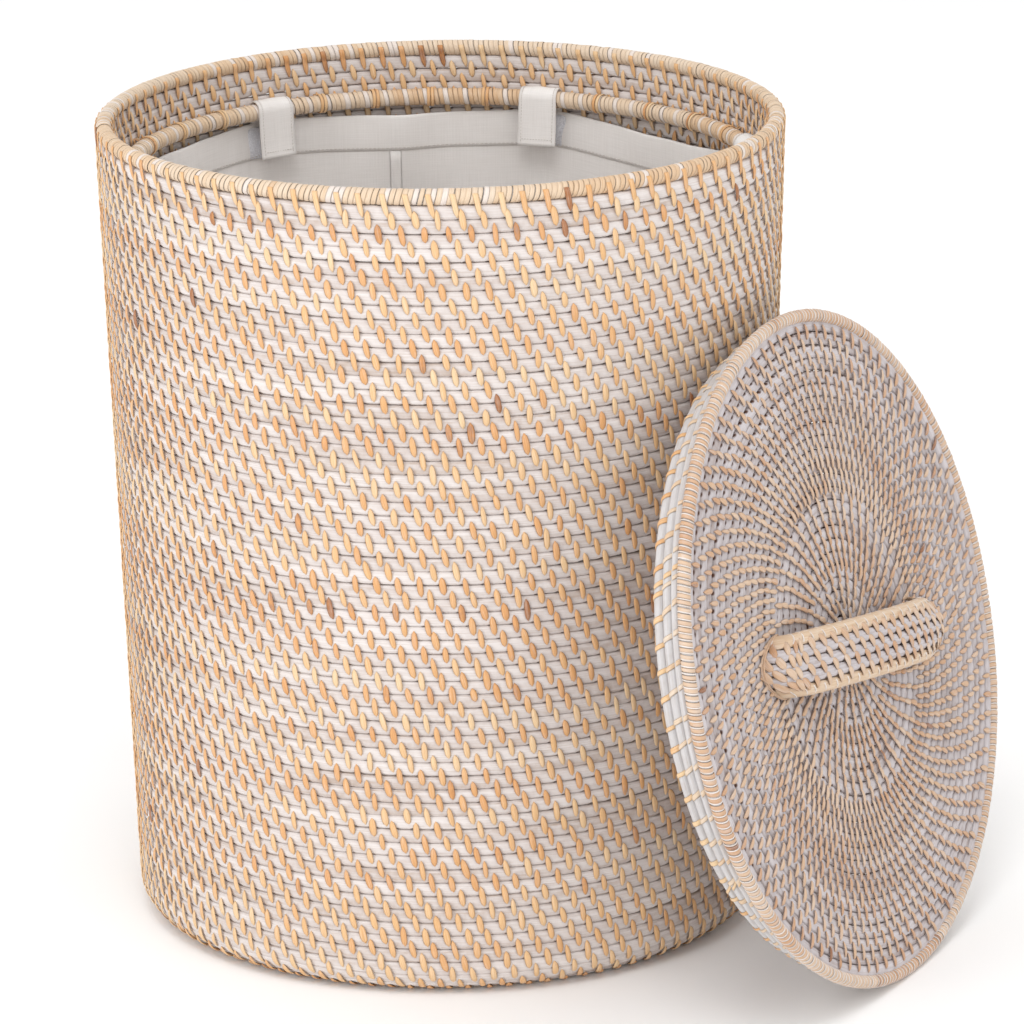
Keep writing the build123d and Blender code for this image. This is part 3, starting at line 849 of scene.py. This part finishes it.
def build_tab(number, radial):
    side = np.array([-radial[1], radial[0], 0.0])
    path = tab_path()
    centre = radial * (LEDGE + path[:, :1]) + UP * (LEDGE_Z + path[:, 1:2])
    tangent = unit(np.gradient(centre, axis=0))
    normal = np.cross(tangent, side)
    across = np.linspace(-1, 1, 11)
    edge = np.abs(across) ** 6
    body = f"tab_{number}"
    lean = rng.normal(0, 0.0006)
    grow = np.linspace(0, 1, len(path))
    waves = 0.00025 * np.sin(across * 5 + number)[None, :] * np.sin(grow * 9 + number)[:, None]
    thick = TAB_HALF_THICKNESS * (1 - 0.45 * edge)
    width = TAB_HALF_WIDTH * (1 + 0.02 * np.sin(grow * 7 + number))
    shift = (grow ** 2 * lean)[:, None, None] * side
    face = (centre[:, None, :] + side * across[None, :, None] * width[:, None, None] + shift
            + normal[:, None, :] * waves[..., None])
    front = face - normal[:, None, :] * thick[None, :, None]
    back = face + normal[:, None, :] * thick[None, :, None]
    loop = np.concatenate([front, back[:, ::-1]], axis=1)
    gaps = np.linalg.norm(np.diff(centre, axis=0), axis=-1)
    u = np.concatenate([[0], np.cumsum(gaps)])
    v = np.concatenate([across, across[::-1], across[:1]]) * TAB_HALF_WIDTH
    piece = lattice(f"tab_cloth_{number}", loop[None], False, {"grain": (u, v)}, 0.5, COTTON, None)
    stitching = []
    inset = TAB_HALF_WIDTH - 0.0022
    for way in (-1, 1):
        line = centre + side * way * inset + shift[:, 0, :] - normal * TAB_HALF_THICKNESS * 1.05
        stitching.append((line[:-1], -normal[:-1]))
    end_line = centre[-3] - normal[-3] * TAB_HALF_THICKNESS * 1.05 + side * np.linspace(-inset, inset, 12)[:, None]
    stitching.append((end_line, np.tile(-normal[-3], (12, 1))))
    start = np.concatenate([a for a, _ in stitching])
    out = np.concatenate([b for _, b in stitching])
    ahead = np.concatenate([np.concatenate([a[1:], a[-1:]]) for a, _ in stitching])
    keep = np.linalg.norm(ahead - start, axis=-1) > 1e-6
    start, ahead, out = start[keep], ahead[keep], out[keep]
    threads = thread_line(f"tab_stitching_{number}", start * 0.85 + ahead * 0.15, start * 0.2 + ahead * 0.8, out,
                          None, 0.00022)
    for item in (piece, threads):
        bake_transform(item)
    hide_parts(f"tab_strap_{number}", f"tab_flap_{number}")
    shift = -LOOP_SHIFT if number % 2 else LOOP_SHIFT
    tape_patch(f"hook_tape_{number}", f"hook_pad_{number}", body, radial, side, 0.0, 0.0, 0.0)
    tape_patch(f"loop_tape_{number}", f"loop_pad_{number}", "basket", radial, side, 0.0026, shift, 0.0042)


def tape_patch(name, node, body, radial, side, wider, shift, lower):
    """A rounded patch of hook-and-loop tape where the frame has one, grown and shifted by the given amounts."""
    mesh_node = frame["nodes"][node]
    co = np.array([mesh_node.matrix_world @ v.co for v in mesh_node.data.vertices])
    depth, across, height = co @ radial, co @ side, co[:, 2]
    left, right = across.min() - wider + shift, across.max() + wider + shift
    low, high = height.min() - lower, height.max()
    outline = superellipse(32, (right - left) / 2, (high - low) / 2, 2 / 0.22)
    rings = []
    for level_depth, size in zip(np.linspace(depth.min(), depth.max(), 4), (0.965, 1.0, 1.0, 0.965)):
        y, z = (left + right) / 2 + outline[:, :1] * size, (low + high) / 2 + outline[:, 1:] * size
        rings.append(radial * level_depth + side * y + UP * z)
    layers = {"grain": (np.arange(4) * 0.0004, np.arange(33) / 32 * 0.07)}
    lattice(name, np.array(rings)[None], False, layers, 0.5, TAPE, body, [node])


# ---- lid ----------------------------------------------------------------------------------
def lid_place(turn=0.0, lift=0.0):
    """Lid frame: x level along the panel, y up the slope, z out of the panel."""
    across = np.cross(LID_UP, LID_OUT)
    place = np.eye(4)
    place[:3, 0] = across * cos(turn) + LID_UP * sin(turn)
    place[:3, 1] = -across * sin(turn) + LID_UP * cos(turn)
    place[:3, 2] = LID_OUT
    place[:3, 3] = LID_CENTRE + LID_OUT * lift
    return place


def build_lid_panel():
    edge = LID_RING - LID_TUBE * 0.55
    full = round(2 * pi * LID_RING / LID_STITCH_PITCH)
    for name, height, flip, way in (("lid", LID_FACE, -1, 1), ("lid_back", LID_BACK, 1, -1)):
        face = Surface([0.004, edge], [height, height], lid_place(), flip=flip)
        centres, counts, phases, pitch = coil_rows(face, LID_ROW_PITCH, full, LID_STITCH_PITCH, LID_STITCH_STEP)
        if name == "lid":
            rod_rings("lid_rods", face, centres, counts, phases, sewn_above(counts, phases), 3 * full,
                      pitch * 0.5, LID_ROD, "lid", ["lid_coil"])
        stitches(f"{name}_stitches", face, centres[1:] - pitch / 2, counts[1:], phases[1:], way, LID_CANE,
                 "lid", length=LID_STITCH_LENGTH, width=LID_STITCH_WIDTH, run=17)


def skirt_hoops():
    """Ring radius, tube radius and height of each skirt rod in the lid's frame."""
    hoops = []
    for number in (1, 2, 3):
        low, high = span(f"lid_skirt_rod_{number}")
        middle = (low + high) / 2
        height = float((middle - LID_CENTRE) @ LID_OUT)
        outer = (high[1] - low[1]) / 2
        rise = (high[2] - low[2]) / 2
        tube = (outer * LID_UP[2] - rise) / (LID_UP[2] - 1)
        hoops.append((outer - tube, tube, height))
    return hoops


def build_lid_edge():
    place = lid_place()
    hoop_core("lid_edge_core", "lid_edge_hoop", LID_RING, LID_TUBE - 0.0007, place, "lid")
    wraps = round(2 * pi * LID_RING / LID_WRAP_PITCH)
    tint = np.clip(strand_tints(wraps, 12), 0, 1)
    hoop_wraps("lid_edge_wraps", LID_RING, LID_TUBE - 0.0002, place, wraps, LID_WRAP_PITCH * 0.36, tint,
               LID_CANE, "lid", 0.0010, nodes=["lid_edge_binding"])
    hoop_wraps("lid_edge_chalk_wraps", LID_RING, LID_TUBE - 0.0002, place, wraps, LID_WRAP_PITCH * 0.12,
               rng.random(wraps) * 0.6, CHALK_CANE, "lid", 0.0010, 0.5, 0.0004)
    for number, (ring, tube, height) in enumerate(skirt_hoops(), 1):
        hoop_core(f"skirt_rod_{number}", f"lid_skirt_rod_{number}", ring, tube, lid_place(lift=height), "lid", 320)


def over_hoop(hoop, start, end, count):
    """Part of a turn over a hoop, in degrees: points and the directions they face, in a radial plane."""
    ring, tube, height = hoop
    phi = np.linspace(radians(start), radians(end), count)
    facing = np.stack([np.cos(phi), np.sin(phi)], axis=-1)
    return np.concatenate([np.array([ring, height]) + (tube + STRAND_GAP) * facing, facing], axis=1)


def build_skirt_ties():
    """Cane ties over the skirt: round the free edge and the lowest rod, and over the upper rods."""
    free, middle, upper = skirt_hoops()
    count = round(2 * pi * LID_RING / SKIRT_TIE_PITCH)
    low = over_hoop(free, -150, 62, 18)
    high = np.concatenate([over_hoop(middle, -48, 52, 9), over_hoop(upper, -10, 60, 5)])
    cross = np.concatenate([low[9:], high[2:]])
    every, few = np.arange(count), np.array([5, 19, 33, 46, 60, 71]) % count
    place = lid_place()
    for name, path, which, shift, slant in (("low", low, every, 0.0, -0.0056),
                                            ("high", high, every, -0.36, -0.0062),
                                            ("cross", cross, few, 0.5, -0.019)):
        angle = (which + shift + rng.normal(0, 0.05, len(which))) / count * 2 * pi
        tilt = slant * (1 + rng.normal(0, 0.2, len(which)))
        radial, around = spokes(angle[:, None] + np.linspace(0, 1, len(path))[None, :] * tilt[:, None] / LID_RING)
        width = TIE_HALF_WIDTH * (1 + rng.normal(0, 0.12, (len(which), 1)))
        points = turned(place, lifted(radial, path[:, :2]), lifted(radial, path[:, 2:]), around)
        ribbons(f"skirt_ties_{name}", *points, width, 0.0004, strand_tints(len(which), 7) * 0.8,
                RIM_CANE if name == "high" else CANE, "lid", nodes=["lid_skirt_ties"] if name == "low" else ())


# ---- handle -------------------------------------------------------------------------------
def handle_line(stations, start):
    """Points of the arch and its normals in the plane of the arch: span along x, height along z."""
    half, rise = HANDLE_SPAN / 2, HANDLE_RISE - HANDLE_COLLAR
    spring = LID_FACE + HANDLE_COLLAR
    foot = HANDLE_FOOT
    crown = ((half - foot) ** 2 + rise ** 2 - foot ** 2) / (2 * (rise - foot))
    turn = asin((half - foot) / (crown - foot))
    leg = spring - start
    bend = foot * (pi / 2 - turn)
    lengths = np.cumsum([0, leg, bend, 2 * crown * turn, bend, leg])
    s = np.linspace(0, lengths[-1], stations)
    x, z, nx, nz = (np.zeros(stations) for _ in range(4))
    for k, value in enumerate(s):
        mirror = value > lengths[-1] / 2
        d = lengths[-1] - value if mirror else value
        if d < leg:
            p, q = (-half, start + d), (-1.0, 0.0)
        elif d < leg + bend:
            a = pi - (d - leg) / foot
            p, q = (-half + foot + foot * cos(a), spring + foot * sin(a)), (cos(a), sin(a))
        else:
            a = pi / 2 + turn - (d - leg - bend) / crown
            p, q = (crown * cos(a), spring + rise - crown + crown * sin(a)), (cos(a), sin(a))
        way = -1 if mirror else 1
        x[k], z[k], nx[k], nz[k] = way * p[0], p[1], way * q[0], q[1]
    return s, np.stack([x, z], axis=-1), np.stack([nx, nz], axis=-1)


def shape_handle(points):
    """Rounds both ends of the strap in plan, as a nose, and domes it across."""
    x, y, z = points[..., 0], points[..., 1], points[..., 2]
    across = (y / (HANDLE_ROD_PITCH * 2)) ** 2
    end = np.clip((np.abs(x) - HANDLE_SPAN / 2 + 0.034) / 0.034, 0, 1)
    dome = 0.0016 * across * np.clip((z - LID_FACE) / 0.010, 0, 1)
    stretch = 0.005 * np.clip(-x / (HANDLE_SPAN / 2), 0, 1) ** 2
    return np.stack([x - stretch - np.sign(x) * 0.0125 * end * across, y * (1.06 - 0.03 * end), z - dome], axis=-1)


def build_handle():
    place = lid_place(HANDLE_TURN)
    turn = place[:3, :3].T
    s, line, normal = handle_line(190, LID_BACK)
    section = superellipse(10, HANDLE_ROD, HANDLE_ROD_PITCH / 2, 3.2)
    offsets = (np.arange(HANDLE_RODS) - (HANDLE_RODS - 1) / 2) * HANDLE_ROD_PITCH
    for number, y in enumerate(offsets, 1):
        low = s / HANDLE_STITCH_PITCH + HANDLE_STEP * (number - 1)
        high = low + HANDLE_STEP
        depth, across = pinch(section, pressed(low) * (number > 1), pressed(high) * (number < HANDLE_RODS))
        x = line[:, :1] + normal[:, :1] * depth
        z = line[:, 1:] + normal[:, 1:] * depth
        rod = shape_handle(np.stack([x, y + across, z], axis=-1)) @ turn + place[:3, 3]
        v = np.arange(11) / 10
        layers = {"grain": (s, v * 0.022), "sewing": (low[None], v), "sewing_above": (high[None], v)}
        edge = number in (1, HANDLE_RODS)
        lattice(f"arch_rod_{number}", rod[None], False, layers, 0.35 if edge else 0.5,
                EDGE_CANE if edge else LID_ROD, "lid", [f"handle_rod_{number}"])
    build_handle_stitches(place, offsets)


def along_handle(at, s, line, normal):
    """Point and normal of the arch at distances along it: px, pz, qx, qz."""
    return [np.interp(at, s, values) for values in (line[:, 0], line[:, 1], normal[:, 0], normal[:, 1])]


def build_handle_stitches(place, offsets):
    """Slanted cane stitches that bind neighbouring rods of the handle, above and below."""
    s, line, normal = handle_line(800, LID_FACE)
    skip = LID_FACE - LID_BACK
    t = np.linspace(-1, 1, 8)
    lift = -0.0008 + 0.0012 * (1 - t ** 2) ** 0.8
    for name, sign in (("over", 1), ("under", -1)):
        where, y = [], []
        for groove in range(1, HANDLE_RODS):
            steps = np.arange(-4, 24)
            at = (steps - HANDLE_STEP * groove) * HANDLE_STITCH_PITCH - skip
            at = np.concatenate([at, at[(at < 0.018) | (at > s[-1] - 0.024)] + HANDLE_STITCH_PITCH / 2])
            at = at[(at > 0.002) & (at < s[-1] - 0.002)]
            where.append(at + rng.normal(0, 0.0004, len(at)))
            y.append(np.full(len(at), (offsets[groove - 1] + offsets[groove]) / 2))
        where, y = np.concatenate(where), np.concatenate(y)
        count = len(where)
        slant = radians(33) + rng.normal(0, radians(3), count)
        size = LID_STITCH_LENGTH * (1 + rng.normal(0, 0.05, count))
        reach = t[None, :] * size[:, None] / 2
        at = np.clip(where[:, None] - reach * np.sin(slant)[:, None], 0.0, s[-1])
        px, pz, qx, qz = along_handle(at, s, line, normal)
        h = sign * (HANDLE_ROD + lift[None, :] + rng.normal(0, 0.00006, (count, 1)))
        across = y[:, None] + reach * np.cos(slant)[:, None]
        centre = shape_handle(np.stack([px + qx * h, across, pz + qz * h], axis=-1))
        out = sign * np.stack([qx, 0 * qx, qz], axis=-1)
        side = unit(np.stack([qz * np.cos(slant)[:, None], np.sin(slant)[:, None] + 0 * qx,
                              -qx * np.cos(slant)[:, None]], axis=-1))
        half = 0.0025 * (1 + rng.normal(0, 0.08, (count, 1))) * (1 - np.abs(t[None, :]) ** 2.6) ** 0.62 + 0.0002
        ribbons(f"handle_stitches_{name}", *turned(place, centre, out, side), half, 0.0005, strand_tints(count, 5),
                LID_CANE, "lid", nodes=["handle_weave"] if name == "over" else ())
    build_edge_wraps(place, offsets)
    for number, way in enumerate((-1, 1), 1):
        build_collar(number, way, place, offsets[-1])


def build_edge_wraps(place, offsets):
    """Chalky cane turns round the outer rod on each side of the handle, between the stitches."""
    s, line, normal = handle_line(800, LID_FACE)
    a = np.arange(14) / 14 * 2 * pi
    for number, y in ((1, offsets[0]), (2, offsets[-1])):
        step = -HANDLE_STEP * (0.5 if number == 1 else HANDLE_RODS - 0.5)
        where = (np.arange(-3, 24) + step + 0.5) * HANDLE_STITCH_PITCH - (LID_FACE - LID_BACK)
        where = where[(where > 0.002) & (where < s[-1] - 0.002)]
        at = where[:, None] - 0.0016 * np.sin(a)[None, :]
        px, pz, qx, qz = along_handle(at, s, line, normal)
        reach = HANDLE_ROD + 0.0002
        h, w = reach * np.cos(a)[None, :], reach * np.sin(a)[None, :]
        centre = shape_handle(np.stack([px + qx * h, y + w + 0 * px, pz + qz * h], axis=-1))
        out = np.stack([qx * np.cos(a), np.sin(a) + 0 * qx, qz * np.cos(a)], axis=-1)
        side = np.stack([qz, 0 * qx, -qx], axis=-1)
        ribbons(f"handle_edge_wraps_{number}", *turned(place, centre, out, side), 0.0007, 0.0003,
                rng.random(len(where)) * 0.5, CHALK_CANE, "lid", closed=True)


def build_collar(number, way, place, edge):
    """Two turns of cane round a foot of the handle."""
    clear = HANDLE_ROD + 0.0008
    straight, flat = np.linspace(-edge, edge, 9)[:8], np.zeros(8)
    arc = np.linspace(-pi / 2, pi / 2, 9)[:8]
    facing = np.stack([np.concatenate([flat - 1, np.sin(arc), flat + 1, -np.sin(arc)]),
                       np.concatenate([flat, np.cos(arc), flat, -np.cos(arc)]), np.zeros(32)], axis=-1)
    y = np.concatenate([straight, np.full(8, edge), -straight, np.full(8, -edge)])
    foot = np.stack([np.full(32, way * HANDLE_SPAN / 2), y, np.zeros(32)], axis=-1) + facing * clear
    centre = shape_handle(np.array([foot + UP * (LID_FACE + rise) for rise in (0.0006, 0.0022)]))
    out = np.array([facing, facing])
    ribbons(f"foot_collar_{number}", *turned(place, centre, out, np.broadcast_to(UP, out.shape)), 0.0008, 0.0004,
            np.array([0.3, 0.5]), LID_CANE, "lid", True, [f"handle_collar_{number}"])


# ---- studio -------------------------------------------------------------------------------
def build_studio():
    floor_mesh = bpy.data.meshes.new("floor")
    size = 6.0
    corners = [(-size, -size, 0), (size, -size, 0), (size, size, 0), (-size, size, 0)]
    floor_mesh.from_pydata(corners, [], [(0, 1, 2, 3)])
    floor = bpy.data.objects.new("floor", floor_mesh)
    bpy.context.collection.objects.link(floor)
    paint = Nodes("pale_floor")
    place = paint.add("ShaderNodeTexCoord").outputs["Object"]
    tone = paint.ramp(paint.noise(place, 3.0, 2), [(0.3, (0.95, 0.95, 0.95)), (0.7, (0.97, 0.97, 0.97))])
    floor_mesh.materials.append(paint.surface({"Base Color": tone, "Roughness": 0.9}))
    world = bpy.data.worlds.new("studio")
    world.use_nodes = True
    background = world.node_tree.nodes["Background"].inputs
    background["Color"].default_value = (1.0, 1.0, 1.0, 1)
    background["Strength"].default_value = 1.0
    bpy.context.scene.world = world
    for name, place, target, power, spread in (
            ("key", (-0.9, -3.2, 0.8), (0, 0, 0.10), 26, 1.4),
            ("fill", (2.8, -1.6, 1.2), (0.1, 0, 0.2), 8, 1.6),
            ("top", (0.7, -1.7, 3.2), (0, 0, 0.5), 26, 1.2)):
        lamp = bpy.data.lights.new(name, "AREA")
        lamp.energy, lamp.size = power, spread
        item = bpy.data.objects.new(name, lamp)
        item.location = place
        item.rotation_euler = (Vector(target) - Vector(place)).to_track_quat("-Z", "Y").to_euler()
        bpy.context.collection.objects.link(item)


def build_camera():
    """Looks from the front left of the lid, a little from above."""
    azimuth, distance, height = radians(28.3), 3.5, 1.3081
    pitch, pan, roll = 0.29236, 0.01206, -0.01231
    turn = Matrix.Rotation(azimuth, 3, "Z")
    forward = turn @ Vector((sin(pan) * cos(pitch), cos(pan) * cos(pitch), -sin(pitch)))
    right = forward.cross(Vector((0, 0, 1))).normalized()
    up = right.cross(forward)
    side = right * cos(roll) + up * sin(roll)
    top = -right * sin(roll) + up * cos(roll)
    data = bpy.data.cameras.new("camera")
    data.sensor_width, data.lens = 36.0, 199.5
    camera = bpy.data.objects.new("camera", data)
    matrix = Matrix((side, top, -forward)).transposed().to_4x4()
    matrix.translation = Vector((distance * sin(azimuth), -distance * cos(azimuth), height))
    camera.matrix_world = matrix
    bpy.context.collection.objects.link(camera)
    bpy.context.scene.camera = camera
    bpy.context.scene.view_settings.view_transform = "Standard"


build_camera()
count, phase = build_basket()
build_rim(count, phase)
build_ledge()
build_lashings()
cloth, hem, band = build_liner()
hem_thread = build_hem_stitching(band)
seam = build_seam(band)
for number, pivot, radial in tab_list():
    build_tab(number, radial)
build_lid_panel()
build_lid_edge()
build_skirt_ties()
build_handle()
build_studio()
